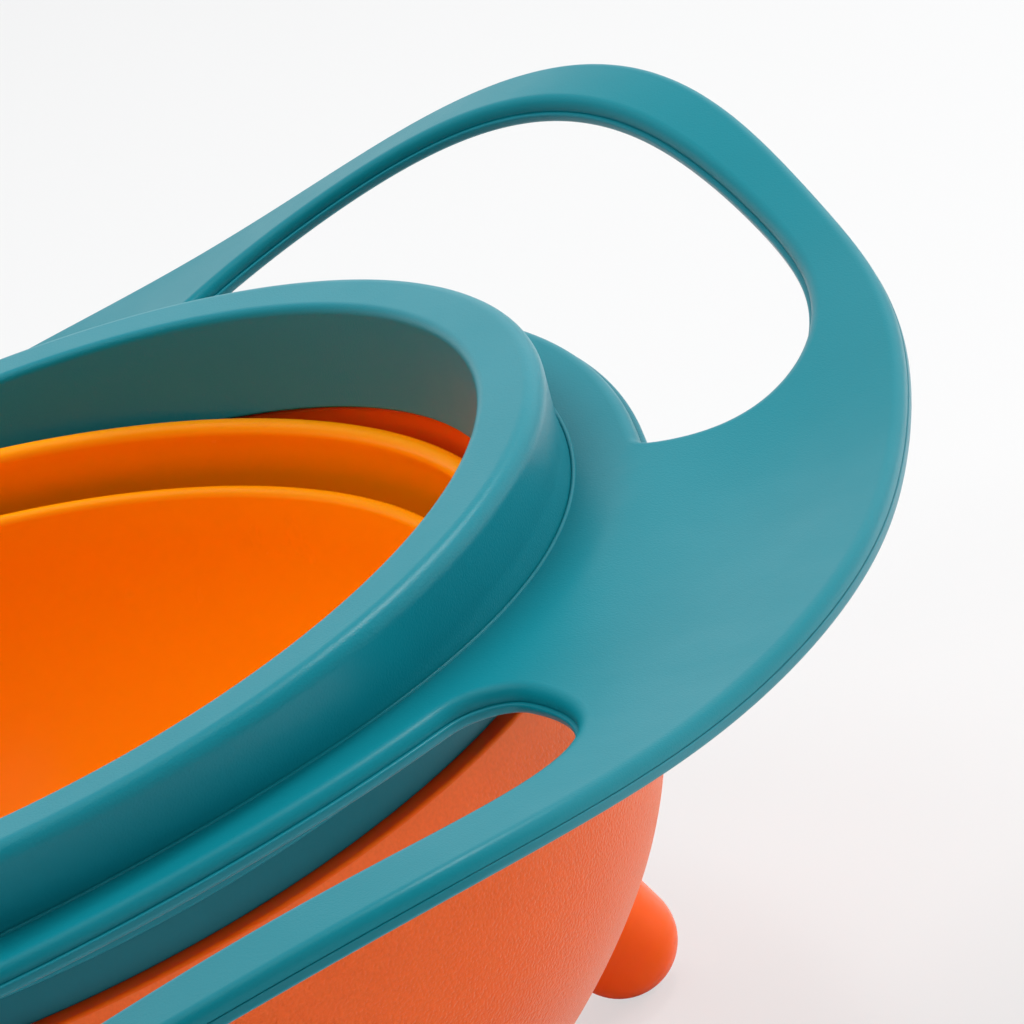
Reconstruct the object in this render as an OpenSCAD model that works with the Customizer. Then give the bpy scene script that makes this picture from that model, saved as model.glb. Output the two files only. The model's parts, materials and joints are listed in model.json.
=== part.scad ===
// Spill-proof bowl: an inner bowl hung on two crossed pivots inside a round
// outer bowl, under a collar with three grip loops. +Z is up, the origin lies
// on the collar's axis in the plane that the feet stand on.

/* [Collar] */
// Diameter of the mouth just under its lip
mouth_d = 130.2; // [122:0.2:138]
// Height of the lip's crown above the pivots
lip_rise = 19.1; // [18:0.1:24]
// Depth of solid lip above the hollow between the collar's walls
lip_depth = 5; // [4:0.1:6]
// Rounding of the lip's outer shoulder
shoulder_r = 2; // [0.8:0.1:2.4]
// Rounding of the lip's inner edge
lip_edge_r = 1.2; // [0.8:0.1:2]
// How much narrower in radius the throat is at its lower edge
throat_taper = 2.14; // [1.6:0.02:2.6]
// Height of the throat's lower edge above the pivots
throat_rise = 6.2; // [5.4:0.1:7.5]
// Thickness of the throat's wall
throat_wall = 2.1; // [1.6:0.1:2.6]
// Thickness of the collar's outer wall
collar_wall = 1.8; // [1.4:0.1:2.6]
// How much wider in radius the collar is at its lip than at the flange
lip_flare = 1.3; // [0:0.1:2]

/* [Skirt ring] */
// Thickness of the skirt ring
skirt_wall = 3.15; // [2.4:0.05:4]

/* [Handle plate] */
// Depth of the flange below the lip's crown
flange_drop = 10.4; // [9:0.1:11]
// Width of the flange round the collar
flange_w = 7.45; // [6:0.05:9]
// Rise and fall of the flange round the collar
flange_wave = 1.56; // [0.5:0.02:2]
// Thickness of the upper shell
upper_t = 1.8; // [1.4:0.05:2.4]
// Thickness of the lower shell
lower_t = 1.2; // [0.9:0.05:1.8]
// Rounding of the upper shell's top edges
top_round = 0.9; // [0.6:0.05:1.3]
// Rounding of the lower shell's bottom edges
bottom_round = 0.7; // [0.3:0.05:0.8]
// How far the lower shell stands out beyond the upper one
lower_proud = 0.1; // [0:0.05:0.5]
// Depth of the groove along the parting line
groove_d = 0.2; // [0.1:0.05:0.6]

/* [Grip loops] */
// Mean width of the plate from the flange's edge to its outline
loop_w = 37.15; // [33:0.05:42]
// How far the loops reach out and the lands draw in
loop_reach = 8.2; // [6:0.1:9.5]
// Fullness of the loops' ends
loop_fullness = 1.8; // [1:0.1:2.4]
// Shoulder of the loops beside the lands
loop_shoulder = 0.8; // [0:0.1:1.2]
// Mean width of a loop's bar
bar_w = 8.5; // [7.5:0.1:10]
// How much wider the bar is at the loop's middle
bar_swell = 1.6; // [0:0.1:2]
// Mean height of the outline above the flange
lift_mean = 0.5; // [-1:0.1:2]
// Rise of the loops and fall of the lands
loop_lift = 7.1; // [4:0.1:8]
// Fullness of the loops' rise
lift_fullness = 1.65; // [0.5:0.05:2]
// Shoulder of the loops' rise
lift_shoulder = 0.6; // [0:0.1:1]
// Half of the angle that a slot spans
slot_half = 39.6; // [34:0.2:44]
// Angle from a loop's highest point to its slot's middle
slot_shift = -12; // [-14:0.2:0]
// Squareness of the slots' round ends
slot_power = 5.6; // [4:0.2:8]
// Angle that the inner rounding of a slot's fuller end spans
end_round = 4; // [2:0.5:6]
// Angle from +X to the first loop's highest point
loop_turn = 41.4; // [0:0.2:60]

/* [Outer bowl] */
// Thickness of the outer bowl
shell_wall = 2.4; // [1.8:0.1:3]
// How far the rim lies below the pivots
rim_drop = 1.4; // [1:0.1:2.4]
// Width of the rim's ledge outside the skirt ring
rim_w = 3.05; // [2.6:0.05:4]
// Rounding of the rim's outer edge
rim_edge_r = 0.6; // [0.3:0.05:1]
// Height of the bowl's upright wall under the rim
straight_h = 8; // [6:0.5:11]
// Thickness of the shelf under the rim
shelf_t = 4; // [3:0.1:5]
// Thickness of the spigot that stands up inside the skirt ring
spigot_wall = 2.95; // [2.6:0.05:3.4]
// Room under the swinging pieces, above the bowl's floor
floor_gap = 2.8; // [2:0.1:5]
// Height of the bowl's underside above the surface it stands on
base_gap = 1.6; // [1:0.1:4]

/* [Feet] */
// Diameter of a foot
foot_d = 14.2; // [11:0.2:16]
// How far the feet stand in from the bowl's rim
foot_inset = 16.4; // [14:0.1:20]
// Angle of the feet from upright
foot_splay = 20; // [10:1:24]
// Angle from +X to the first foot
foot_turn = 17; // [0:1:120]
// Diameter of the flat that a foot stands on
foot_flat_d = 3.8; // [2:0.2:6]
// Depth of a foot's seat in the bowl's wall
foot_seat = 0.8; // [0.4:0.1:1.2]

/* [Gimbal ring] */
// Thickness of the gimbal ring
ring_wall = 2.6; // [2.2:0.1:3.2]
// Angle from the pivots up to the ring's upper edge
ring_up = 11.5; // [10:0.5:12.5]
// Angle from the pivots down to the ring's lower edge
ring_down = 11; // [8:0.5:14]
// How far the ring's rounded edges stand proud of its faces
ring_bead = 0.1; // [0.05:0.01:0.2]
// Angle that the ring and the inner bowl have swung to
ring_swing = 10.3; // [-30:0.1:30]

/* [Inner bowl] */
// Thickness of the inner bowl
bowl_wall = 2.2; // [1.8:0.1:2.8]
// Height of the middle of the bowl's rounded rim above the pivots
bowl_rise = 5.7; // [3:0.1:8]
// Depth of the bowl's base below the pivots
bowl_depth = 46; // [40:0.5:50]

/* [Pivots] */
// Diameter of the pivot pins
pin_d = 4; // [3:0.1:4.6]
// Diameter of the bosses round the pins
boss_d = 8.4; // [7.4:0.1:9.4]
// Width of the shoulder on a gimbal pin
pin_shoulder_d = 6.4; // [5.6:0.1:7]
// Thickness of bowl left behind a blind pin hole
blind_wall = 1.5; // [1.2:0.1:1.8]

/* [Clearances] */
// Gap at the fixed fits
fit_gap = 0.15; // [0.05:0.05:0.2]
// Gap where faces seat on each other
seat_gap = 0.05; // [0.02:0.01:0.1]
// Radial gap where a pin turns
run_gap = 0.05; // [0.03:0.01:0.1]
// Radial gap where a pin is pressed in
press_gap = 0.02; // [0.01:0.01:0.03]
// Room round the gimbal ring's swing
swing_gap = 0.56; // [0.4:0.02:0.8]
// Step from the throat out to the spigot
spigot_step = 0.64; // [0.5:0.02:1]
// Room between the gimbal ring and the inner bowl
bowl_gap = 3.1; // [2.6:0.1:4]

/* [Hidden] */
$fn = 96;

teal = "#2f8f9f";
deep_teal = "#0f7584";
coral = "#e2683a";
orange = "#f28a1a";
foot_orange = "#f05a18";
pin_white = "#e4e1d8";

// Radii of the nested walls, from the mouth outwards
mouth_r = mouth_d / 2;
throat_r = mouth_r - throat_taper;
spigot_in_r = throat_r + spigot_step;
spigot_r = spigot_in_r + spigot_wall;
taper_h = lip_rise - lip_edge_r - throat_rise;
roof_share = (lip_depth - lip_edge_r) / taper_h;
throat_back_r = mouth_r - throat_taper * roof_share + throat_wall;
skirt_in_r = max(spigot_r, throat_back_r) + fit_gap;
skirt_r = skirt_in_r + skirt_wall;
collar_in_r = skirt_r + fit_gap;
collar_r = collar_in_r + collar_wall;
lip_r = collar_r + lip_flare;
plate_bore_r = collar_r + fit_gap;
flange_r = collar_r + flange_w;
handle_r = flange_r + loop_w;
rim_r = skirt_r + rim_w;

// Radii of the spheres that the swinging pieces stay inside
swing_r = min(norm([throat_r, throat_rise]), spigot_in_r) - swing_gap;
ring_in_r = swing_r - ring_wall;
ring_mid_r = swing_r - ring_wall / 2;
bowl_swing_r = ring_in_r - bowl_gap;
rim_centre_r = sqrt(pow(bowl_swing_r - bowl_wall / 2, 2) - bowl_rise * bowl_rise);
bowl_r = rim_centre_r + bowl_wall / 2;

// Heights above the surface that the feet stand on
pivot_z = base_gap + shell_wall + floor_gap + swing_r;
crown_z = pivot_z + lip_rise;
roof_z = crown_z - lip_depth;
throat_z = pivot_z + throat_rise;
flange_z = crown_z - flange_drop;
flare_z = flange_z + flange_wave + fit_gap;
rim_z = pivot_z - rim_drop;
plate_t = upper_t + lower_t + seat_gap;
collar_margin = 1;
collar_low_z = flange_z - flange_wave - plate_t - collar_margin;
spigot_z = throat_z - 2 * fit_gap;

// Outer bowl's profile: an upright wall, a side arc and a base arc, all tangent
blend_angle = 40;
blend_share = (1 - sin(blend_angle)) / cos(blend_angle);
arc_z = rim_z - straight_h;
arc_depth = arc_z - base_gap;
side_r = (arc_depth - blend_share * rim_r) / (1 - blend_share);
side_off = rim_r - side_r;
base_r = side_r + side_off / cos(blend_angle);
base_c_z = base_gap + base_r;
shelf_slope = 3;

// Feet
foot_r = foot_d / 2;
foot_circle_r = rim_r - foot_inset;
foot_ball_z = sqrt(foot_r * foot_r - pow(foot_flat_d / 2, 2));
foot_reach = 26;

// Pivots
pin_r = pin_d / 2;
spot_depth = 0.5;
boss_room = 0.7;
pin_sink = 0.3;
ring_boss_out_r = swing_r - spot_depth;
ring_boss_in_r = bowl_swing_r + bowl_gap / 2;
bowl_boss_r = ring_in_r - boss_room;
gimbal_pin_in_r = ring_boss_in_r + seat_gap;
gimbal_pin_out_r = spigot_r - 2 * fit_gap;
bowl_pin_in_r = bowl_r - bowl_wall + blind_wall + seat_gap;
bowl_pin_out_r = swing_r - pin_sink;
blind_hole_r = bowl_pin_in_r - seat_gap;
shoulder_in_r = ring_boss_out_r + seat_gap;
shoulder_out_r = spigot_in_r - fit_gap;
tongue_w = pin_d - fit_gap;
saddle_r = pin_r + run_gap;
over = 1;

// Handle plate: the outline, its height and the slots, at an angle t from a loop's highest point
slot_steps = 13;
land_steps = 7;
edge_share = 0.3;
tip_step = 0.85;
end_share = 0.9926;
tip_r = flange_r + tip_step;

function out_r(t) = handle_r + loop_reach * cos(3 * t) + loop_fullness * cos(6 * t) + loop_shoulder * cos(9 * t);
function lift(t) = lift_mean + loop_lift * cos(3 * t) + lift_fullness * cos(6 * t) + lift_shoulder * cos(9 * t);
function bar_in_r(t) = out_r(t) - bar_w - bar_swell * cos(6 * t);
function ramp(r, t) = sin(90 * max(0, min(1, (r - flange_r) / (bar_in_r(t) - flange_r))));
function plate_z(r, t) = flange_z + (1 - ramp(r, t)) * flange_wave * cos(3 * t) + ramp(r, t) * lift(t);

// Edges of a slot, at a share w of its half angle; its end at w = 1 is the fuller one
function slot_t(w) = slot_shift + slot_half * w;
function slot_end(w) = sqrt(max(0, 1 - pow(abs(w > 0 ? w * end_share : w), slot_power)));
function slot_out_r(w) = tip_r + (bar_in_r(slot_t(w)) - tip_r) * slot_end(w);
function end_rise(w) = 1 - sqrt(1 - pow(max(0, 1 - (1 - w) * slot_half / end_round), 2));
function slot_in_r(w) =
    let (plain = tip_r - (tip_r - flange_r) * slot_end(w))
    plain + (slot_out_r(1) - plain) * end_rise(w);

// One column of the plate: its angle, whether the slot is open there, and the slot's edges
slot_columns = [for (j = [0 : 2 * slot_steps]) sin(90 * (j / slot_steps - 1))];
land_angle = 120 - 2 * slot_half;
function land_r(share) = slot_out_r(1) + (slot_out_r(-1) - slot_out_r(1)) * share;
function land_column(loop, share) =
    [loop * 120 + slot_t(1) + land_angle * share, false, land_r(share), land_r(share)];
columns = [for (loop = [0 : 2]) each concat(
    [for (w = slot_columns) [loop * 120 + slot_t(w), abs(w) < 1, slot_in_r(w), slot_out_r(w)]],
    [for (j = [1 : land_steps - 1]) land_column(loop, j / land_steps)])];
column_count = len(columns);

module round_section() {
    rotate_extrude() children();
}

module along_y(side) {
    translate([0, 0, pivot_z]) rotate([-90 * side, 0, 0]) children();
}

module swung() {
    translate([0, 0, pivot_z]) rotate([0, ring_swing, 0]) children();
}

module along_swung_x(side) {
    swung() rotate([0, 90 * side, 0]) children();
}

module tube(r, from, to) {
    translate([0, 0, from]) cylinder(r = r, h = to - from);
}

// Closed shell of the plate between two depths below its top face
module plate_shell(top, bottom, top_drop, bottom_drop, grow_top, grow_bottom) {
    edge = top_round;
    in_rows = 4;
    out_rows = 8;
    rows = in_rows + out_rows;

    function open(c) = columns[c][1];
    function fade(c, lo, hi) = open(c) ? min(1, (hi - lo) / (2 * edge)) : 0;
    function row_radii(lo, hi, out) = [
        plate_bore_r, lo - edge, lo - edge_share * edge, lo,
        hi, hi + edge_share * edge, hi + edge,
        hi + edge + (out - hi - 2 * edge) / 3, hi + edge + (out - hi - 2 * edge) * 2 / 3,
        out - edge, out - edge_share * edge, out];
    function row_drops(f) = [0, 0, edge_share * f, f, f, edge_share * f, 0, 0, 0, 0, edge_share, 1];
    function face(c, depth, drop, grow) =
        let (a = columns[c][0], lo = columns[c][2], hi = columns[c][3], out = out_r(a) + grow)
        let (radii = row_radii(lo, hi, out), drops = row_drops(fade(c, lo, hi)))
        [for (j = [0 : rows - 1])
            [radii[j] * cos(a + loop_turn), radii[j] * sin(a + loop_turn),
             plate_z(min(radii[j], out_r(a)), a) - depth - drop * drops[j]]];
    function id(c, side, j) =
        let (col = c % column_count)
        let (row = j == in_rows && !open(col) ? in_rows - 1 : j)
        (col * 2 + side) * rows + row;
    function quad(a, b, c, d) = [[a, b, c], [a, c, d]];

    points = [for (c = [0 : column_count - 1])
        each concat(face(c, top, top_drop, grow_top), face(c, bottom, -bottom_drop, grow_bottom))];
    strips = [for (j = [0 : rows - 2]) if (j != in_rows - 1) j];
    faces = [for (c = [0 : column_count - 1])
        let (slot = open(c) || open((c + 1) % column_count))
        each concat(
            [for (j = strips) each quad(id(c, 0, j), id(c, 0, j + 1), id(c + 1, 0, j + 1), id(c + 1, 0, j))],
            [for (j = strips) each quad(id(c, 1, j), id(c + 1, 1, j), id(c + 1, 1, j + 1), id(c, 1, j + 1))],
            [for (j = slot ? [0, in_rows] : [0])
                each quad(id(c, 0, j), id(c + 1, 0, j), id(c + 1, 1, j), id(c, 1, j))],
            [for (j = slot ? [in_rows - 1, rows - 1] : [rows - 1])
                each quad(id(c, 0, j), id(c, 1, j), id(c + 1, 1, j), id(c + 1, 0, j))])];
    polyhedron(points = points, faces = faces, convexity = 10);
}

module rim_collar() {
    color(teal) {
        round_section() {
            translate([mouth_r + lip_edge_r, crown_z - lip_edge_r]) circle(lip_edge_r);
            translate([lip_r - shoulder_r, crown_z - shoulder_r]) circle(shoulder_r);
            polygon([[mouth_r, crown_z - lip_edge_r], [mouth_r + lip_edge_r, crown_z],
                     [lip_r - shoulder_r, crown_z], [lip_r, crown_z - shoulder_r],
                     [collar_r, flare_z], [collar_r, collar_low_z], [collar_in_r, collar_low_z],
                     [collar_in_r, roof_z], [throat_back_r, roof_z],
                     [throat_r + throat_wall, throat_z], [throat_r, throat_z]]);
        }
        for (side = [-1, 1]) pin_tongue(side);
    }
}

// Tongue that closes a pin's saddle from above
module pin_tongue(side) {
    from = spigot_in_r + fit_gap;
    depth = spigot_r - 2 * fit_gap - from;
    low_z = pivot_z + pin_r + run_gap + seat_gap;
    translate([-tongue_w / 2, side > 0 ? from : -from - depth, low_z])
        cube([tongue_w, depth, throat_z - low_z + throat_wall / 4]);
}

module upper_handle_shell() {
    color(teal) plate_shell(0, upper_t, top_round, 0, 0, -groove_d);
}

module lower_handle_shell() {
    color(deep_teal) plate_shell(upper_t + seat_gap, plate_t, 0, bottom_round, lower_proud, lower_proud);
}

module skirt_ring() {
    color(deep_teal) round_section()
        translate([skirt_in_r, rim_z + seat_gap])
            square([skirt_wall, roof_z - rim_z - 2 * seat_gap]);
}

// Filled half profile of the outer bowl, set in by a depth from its outside
module bowl_outline(inset) {
    blend_z = arc_z - (side_r - inset) * sin(blend_angle);
    translate([0, arc_z]) square([rim_r - inset, rim_z - arc_z]);
    intersection() {
        union() {
            translate([side_off, arc_z]) circle(side_r - inset);
            translate([0, arc_z - side_r]) square([side_off, side_r]);
        }
        translate([0, blend_z]) square([rim_r, arc_z - blend_z]);
    }
    intersection() {
        translate([0, base_c_z]) circle(base_r - inset);
        square([rim_r, blend_z]);
    }
}

module bowl_section() {
    difference() {
        union() {
            difference() {
                bowl_outline(0);
                bowl_outline(shell_wall);
            }
            polygon([[spigot_in_r, rim_z - shelf_t], [rim_r - shell_wall / 2, rim_z - shelf_t - shelf_slope],
                     [rim_r - shell_wall / 2, rim_z], [spigot_in_r, rim_z]]);
            translate([spigot_in_r, rim_z - over]) square([spigot_wall, spigot_z - rim_z + over]);
        }
        translate([rim_r - rim_edge_r, rim_z - rim_edge_r]) difference() {
            square(rim_edge_r + over);
            circle(rim_edge_r);
        }
    }
}

module outer_bowl() {
    color(coral) difference() {
        round_section() bowl_section();
        for (side = [-1, 1]) pin_saddle(side);
        for (place = [0 : 2]) difference() {
            foot_peg(place, foot_r + fit_gap);
            round_section() bowl_outline(foot_seat);
        }
    }
}

// Saddle for a gimbal pin, open at the top of the spigot
module pin_saddle(side) {
    from = spigot_in_r - over;
    along_y(side) tube(saddle_r, from, spigot_r + seat_gap);
    translate([-saddle_r, side > 0 ? from : -spigot_r - seat_gap, pivot_z])
        cube([2 * saddle_r, spigot_r + seat_gap - from, spigot_z - pivot_z + over]);
}

// Round-ended peg that leans outwards to its ball
module foot_peg(place, r) {
    rotate([0, 0, foot_turn + 120 * place]) translate([foot_circle_r, 0, foot_ball_z])
        rotate([0, -foot_splay, 0]) round_section() {
            square([r, foot_reach]);
            intersection() {
                circle(r);
                translate([0, -r]) square(r);
            }
        }
}

module foot(place) {
    color(foot_orange) difference() {
        foot_peg(place, foot_r);
        round_section() bowl_outline(foot_seat - seat_gap);
        translate([0, 0, -foot_d / 2]) cube([3 * handle_r, 3 * handle_r, foot_d], center = true);
    }
}

module gimbal_ring() {
    color(orange) difference() {
        union() {
            swung() round_section() {
                intersection() {
                    difference() {
                        circle(swing_r);
                        circle(ring_in_r);
                    }
                    polygon([[0, 0], [2 * swing_r, -2 * swing_r * tan(ring_down)],
                             [2 * swing_r, 2 * swing_r * tan(ring_up)]]);
                }
                for (a = [-ring_down, ring_up]) rotate(a) translate([ring_mid_r, 0]) circle(ring_wall / 2 + ring_bead);
            }
            for (side = [-1, 1]) along_y(side) tube(boss_d / 2, ring_boss_in_r, ring_boss_out_r);
        }
        for (side = [-1, 1]) {
            along_y(side) tube(pin_r + press_gap, ring_boss_in_r - over, swing_r + over);
            along_y(side) tube(pin_shoulder_d / 2 + fit_gap, ring_boss_out_r, swing_r + over);
            along_swung_x(side) tube(pin_r + run_gap, ring_in_r - over, swing_r + over);
        }
    }
}

module gimbal_pin(side) {
    color(pin_white) along_y(side) {
        tube(pin_r, gimbal_pin_in_r, gimbal_pin_out_r);
        tube(pin_shoulder_d / 2, shoulder_in_r, shoulder_out_r);
    }
}

module inner_bowl() {
    color(orange) difference() {
        union() {
            swung() round_section() {
                translate([rim_centre_r, bowl_rise]) circle(bowl_wall / 2);
                translate([bowl_r - bowl_wall, 0]) square([bowl_wall, bowl_rise]);
                intersection() {
                    difference() {
                        circle(bowl_r);
                        intersection() {
                            circle(bowl_r - bowl_wall);
                            translate([0, bowl_wall - bowl_depth]) square([bowl_r, bowl_depth]);
                        }
                    }
                    translate([0, -bowl_depth]) square([bowl_r, bowl_depth]);
                }
            }
            for (side = [-1, 1]) along_swung_x(side) tube(boss_d / 2, blind_hole_r, bowl_boss_r);
        }
        for (side = [-1, 1]) along_swung_x(side) tube(pin_r + press_gap, blind_hole_r, bowl_boss_r + over);
    }
}

module bowl_pin(side) {
    color(pin_white) along_swung_x(side) tube(pin_r, bowl_pin_in_r, bowl_pin_out_r);
}

rim_collar();
upper_handle_shell();
lower_handle_shell();
skirt_ring();
outer_bowl();
foot(0);  // foot_right
foot(1);  // foot_back
foot(2);  // foot_front
gimbal_ring();
gimbal_pin(1);  // gimbal_pin_back
gimbal_pin(-1);  // gimbal_pin_front
inner_bowl();
bowl_pin(1);  // bowl_pin_right
bowl_pin(-1);  // bowl_pin_left
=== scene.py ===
# %% [markdown]
# # A bowl that does not spill
#
# The object is a toddler's bowl on a gimbal. A round outer bowl stands on three feet. A collar with a wavy
# plate of finger loops closes it. Inside, a ring turns on one pair of pins, and the food bowl turns in that
# ring on a second pair, square to the first, so the food stays level however the loops are held.
#
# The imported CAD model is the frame: it says where everything is and what moves. This lesson builds the
# finished mouldings around it, in metres, in the same axes, and gives each one its plastic.

# %% Load the frame
import json
import math

import bmesh
import bpy
import numpy as np
from mathutils import Matrix, Vector
from mathutils.geometry import delaunay_2d_cdt


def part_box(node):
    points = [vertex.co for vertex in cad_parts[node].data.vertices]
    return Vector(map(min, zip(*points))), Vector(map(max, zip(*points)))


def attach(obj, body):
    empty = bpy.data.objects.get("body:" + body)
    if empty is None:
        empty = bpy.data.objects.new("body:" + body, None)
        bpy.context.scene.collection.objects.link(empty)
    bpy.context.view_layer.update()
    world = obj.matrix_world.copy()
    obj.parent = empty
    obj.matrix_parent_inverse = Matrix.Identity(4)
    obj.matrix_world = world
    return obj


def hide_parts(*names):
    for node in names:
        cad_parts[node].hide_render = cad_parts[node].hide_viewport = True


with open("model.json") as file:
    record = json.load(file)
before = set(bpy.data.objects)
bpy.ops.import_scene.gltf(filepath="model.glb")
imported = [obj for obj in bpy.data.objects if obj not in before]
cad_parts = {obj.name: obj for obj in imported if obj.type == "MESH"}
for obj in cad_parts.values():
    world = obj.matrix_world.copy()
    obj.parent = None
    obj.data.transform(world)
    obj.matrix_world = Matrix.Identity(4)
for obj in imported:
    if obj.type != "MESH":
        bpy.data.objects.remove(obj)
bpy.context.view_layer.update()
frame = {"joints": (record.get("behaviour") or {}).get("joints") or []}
MM = 0.001

ring_joint, bowl_joint = frame["joints"]
pivot = Vector(ring_joint["pos_m"])
swing = math.atan2(-bowl_joint["axis"][2], bowl_joint["axis"][0])
print("pivot height", round(pivot.z / MM, 2), "mm, swung by", round(math.degrees(swing), 2), "degrees")

# %% [markdown]
# ## Sizes taken from the frame
#
# A finished moulding has to sit exactly where its CAD piece sits. So the radii and heights that two pieces
# share are read from the boxes of the CAD pieces. Only what a box can't say, such as a rounding or the
# shape of a curve, is written here as a value of its own.

# %% Read the shared sizes
def box_mm(node):
    low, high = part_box(node)
    return low / MM, high / MM


LIP_FLARE = 1.3
SKIRT_GAP = 0.05

collar_high = box_mm("rim_collar")[1]
skirt_low, skirt_high = box_mm("skirt_ring")
outer_low, outer_high = box_mm("outer_bowl")
pivot_z = pivot.z / MM
lip_r = collar_high.x
collar_r = lip_r - LIP_FLARE
crown_z = collar_high.z
skirt_r = skirt_high.x
rim_r = outer_high.x
rim_z = skirt_low.z - SKIRT_GAP
base_z = outer_low.z
spigot_z = outer_high.z
print("collar radius", round(collar_r, 2), "lip", round(lip_r, 2), "crown", round(crown_z, 2))
print("outer bowl's rim", round(rim_r, 2), "at height", round(rim_z, 2), "base", round(base_z, 2))

# %% [markdown]
# ## Turning a profile
#
# Most of these mouldings are turned shapes: a section swept once round an axis. The Spin tool or a Screw
# modifier would do it too. Here a small Geometry Nodes tree does it: it makes a flat grid, takes each
# row's place from a point of the section and turns each column by its share of a full turn. The number of
# columns is a named input, so every piece uses the same tree.

# %% Build the turning tree
WELD = 2e-6


def socket(sockets, name):
    """The socket of that name that is in use."""
    return next(s for s in sockets if s.name == name and s.enabled)


def turning_tree():
    """Geometry nodes that turn the points of a section round the upright axis."""
    tree = bpy.data.node_groups.new("turn_a_section", "GeometryNodeTree")
    for name, kind in (("Section", "NodeSocketObject"), ("Points", "NodeSocketInt"),
                       ("Columns", "NodeSocketInt"), ("Plastic", "NodeSocketMaterial")):
        tree.interface.new_socket(name, in_out="INPUT", socket_type=kind)
    tree.interface.new_socket("Mesh", in_out="OUTPUT", socket_type="NodeSocketGeometry")

    def add(kind, **settings):
        made = tree.nodes.new(kind)
        for key, value in settings.items():
            setattr(made, key, value)
        return made

    def link(source, out, target, into):
        tree.links.new(socket(source.outputs, out), socket(target.inputs, into))

    given = add("NodeGroupInput")
    result = add("NodeGroupOutput")
    seam = add("ShaderNodeMath", operation="ADD")
    seam.inputs[1].default_value = 1
    tree.links.new(socket(given.outputs, "Columns"), seam.inputs[0])
    grid = add("GeometryNodeMeshGrid")
    link(seam, "Value", grid, "Vertices X")
    link(given, "Points", grid, "Vertices Y")

    share = add("ShaderNodeSeparateXYZ")
    link(grid, "UV Map", share, "Vector")
    last = add("ShaderNodeMath", operation="SUBTRACT")
    last.inputs[1].default_value = 1
    tree.links.new(socket(given.outputs, "Points"), last.inputs[0])
    row = add("ShaderNodeMath", operation="MULTIPLY_ADD")
    row.inputs[2].default_value = 0.5
    tree.links.new(socket(share.outputs, "Y"), row.inputs[0])
    tree.links.new(last.outputs[0], row.inputs[1])
    angle = add("ShaderNodeMath", operation="MULTIPLY")
    angle.inputs[1].default_value = 2 * math.pi
    tree.links.new(socket(share.outputs, "X"), angle.inputs[0])

    section = add("GeometryNodeObjectInfo", transform_space="ORIGINAL")
    link(given, "Section", section, "Object")
    place = add("GeometryNodeInputPosition")
    point = add("GeometryNodeSampleIndex", data_type="FLOAT_VECTOR", domain="POINT")
    link(section, "Geometry", point, "Geometry")
    link(place, "Position", point, "Value")
    link(row, "Value", point, "Index")
    turn = add("ShaderNodeVectorRotate", rotation_type="Z_AXIS")
    link(point, "Value", turn, "Vector")
    link(angle, "Value", turn, "Angle")

    move = add("GeometryNodeSetPosition")
    link(grid, "Mesh", move, "Geometry")
    link(turn, "Vector", move, "Position")
    weld = add("GeometryNodeMergeByDistance")
    socket(weld.inputs, "Distance").default_value = WELD
    link(move, "Geometry", weld, "Geometry")
    real = add("GeometryNodeRealizeInstances")
    link(weld, "Geometry", real, "Geometry")
    paint = add("GeometryNodeSetMaterial")
    link(real, "Geometry", paint, "Geometry")
    link(given, "Plastic", paint, "Material")
    link(paint, "Geometry", result, "Mesh")
    return tree


turn_a_section = turning_tree()
print("tree", turn_a_section.name, "with", len(turn_a_section.nodes), "nodes")

# %% [markdown]
# ## From a section to a piece
#
# The section is a list of corners in millimetres: radius, height and rounding. Each rounded corner becomes
# an arc with a support point on either side, so that smooth shading stays on the arc and the flats stay
# flat. The tree's result is turned into a plain mesh, its faces are made to point outwards, and creases
# sharper than a set angle are kept crisp.

# %% Helpers for sections and meshes
ARC_STEP = math.radians(11)
SUPPORT = 0.12
CREASE = math.radians(40)
SLIVER = 1e-6


def rounded(corners, closed=True):
    """Points of an outline, with an arc at each corner that has a rounding."""
    points = []
    count = len(corners)
    for i, (r, z, rounding) in enumerate(corners):
        here = Vector((r, z))
        ends = not closed and i in (0, count - 1)
        if ends or rounding <= 0:
            points.append(here)
            continue
        before = Vector(corners[i - 1][:2]) - here
        after = Vector(corners[(i + 1) % count][:2]) - here
        room = min(before.length, after.length)
        before.normalize()
        after.normalize()
        half = before.angle(after) / 2
        setback = rounding / math.tan(half)
        centre = here + (before + after).normalized() * (rounding / math.sin(half))
        start = here + before * setback
        finish = here + after * setback
        if setback + SUPPORT < room / 2:
            points.append(start + before * SUPPORT)
        sweep = (start - centre).angle_signed(finish - centre)
        steps = max(2, round(abs(sweep) / ARC_STEP))
        for k in range(steps + 1):
            arm = start - centre
            arm.rotate(Matrix.Rotation(-sweep * k / steps, 2))
            points.append(centre + arm)
        if setback + SUPPORT < room / 2:
            points.append(finish + after * SUPPORT)
    return [(p.x, p.y) for p in points]


def arc(centre, radius, first, last, steps):
    """Points of an arc in the section plane, from one angle to another, in degrees."""
    angles = [math.radians(first + (last - first) * k / steps) for k in range(steps + 1)]
    return [(centre[0] + radius * math.cos(a), centre[1] + radius * math.sin(a)) for a in angles]


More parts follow.
